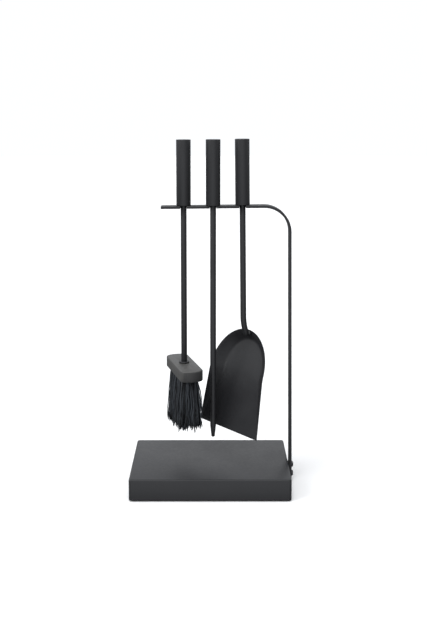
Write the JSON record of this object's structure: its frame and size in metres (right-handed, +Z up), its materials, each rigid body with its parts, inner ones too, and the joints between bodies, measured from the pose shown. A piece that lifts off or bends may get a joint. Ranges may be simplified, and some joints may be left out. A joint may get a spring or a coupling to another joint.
{
  "type": "fireplace tool set",
  "caption": "Companion set for a fireplace: a brush, a poker and a shovel hang by round grips from slots in a flat-bar stand that rises from a low steel base.",
  "frame": {"origin": "on the floor, under the middle of the whole set's bounding box", "axes": "+Z up; +X along the arm from its free end towards the upright; the front, with the open ends of the slots, faces -Y"},
  "size_m": [0.2862, 0.187, 0.6089],
  "materials": {
    "powder_coat": "fine-textured semi-matte black powder coat on steel",
    "screw_steel": "black oxide, satin",
    "rubber": "matte moulded rubber",
    "painted_wood": "hardwood under a thin charcoal paint, satin, grain showing",
    "bristle": "coarse black bristle with a cool sheen"
  },
  "bodies": {
    "stand": {"base_cover": "powder_coat", "base_bottom_plate": "powder_coat", "foot_front_left": "rubber", "plate_screw_front_left": "screw_steel", "foot_front_right": "rubber", "plate_screw_front_right": "screw_steel", "foot_back_left": "rubber", "plate_screw_back_left": "screw_steel", "foot_back_right": "rubber", "plate_screw_back_right": "screw_steel", "stand_bar": "powder_coat", "stand_screw_upper": "screw_steel", "stand_spacer_upper": "screw_steel", "stand_washer_upper": "screw_steel", "stand_nut_upper": "screw_steel", "stand_screw_lower": "screw_steel", "stand_spacer_lower": "screw_steel", "stand_washer_lower": "screw_steel", "stand_nut_lower": "screw_steel"},
    "brush_grip": {"brush_grip_tube": "powder_coat", "brush_grip_cap": "powder_coat", "brush_grip_plug": "powder_coat"},
    "brush_head": {"brush_rod": "powder_coat", "brush_flange": "powder_coat", "brush_block": "painted_wood", "brush_bristles": "bristle"},
    "poker_grip": {"poker_grip_tube": "powder_coat", "poker_grip_cap": "powder_coat", "poker_grip_plug": "powder_coat"},
    "poker_shaft": {"poker_rod": "powder_coat"},
    "shovel_grip": {"shovel_grip_tube": "powder_coat", "shovel_grip_cap": "powder_coat", "shovel_grip_plug": "powder_coat"},
    "shovel_head": {"shovel_rod": "powder_coat", "shovel_pan": "powder_coat", "shovel_weld": "powder_coat"}
  },
  "joints": [
    {"name": "brush_lift", "type": "slide", "parent": "stand", "child": "brush_grip", "axis": [0, -0.7071, 0.7071], "range_m": [0, 0.3]},
    {"name": "brush_swivel", "type": "hinge", "parent": "brush_grip", "child": "brush_head", "pos_m": [-0.0511, 0, 0.49406], "axis": [0, 0, 1], "range_deg": [-15, 30]},
    {"name": "poker_lift", "type": "slide", "parent": "stand", "child": "poker_grip", "axis": [0, -0.7071, 0.7071], "range_m": [0, 0.3]},
    {"name": "poker_swivel", "type": "hinge", "parent": "poker_grip", "child": "poker_shaft", "pos_m": [-0.0001, -0.006, 0.4946], "axis": [0, 0, 1], "continuous": true},
    {"name": "shovel_lift", "type": "slide", "parent": "stand", "child": "shovel_grip", "axis": [-0.0107, -0.009, 0.9999], "range_m": [0, 0.12]},
    {"name": "shovel_swivel", "type": "hinge", "parent": "shovel_grip", "child": "shovel_head", "pos_m": [0.0509, 0, 0.4953], "axis": [-0.0107, -0.009, 0.9999], "range_deg": [-45, 0]}
  ]
}
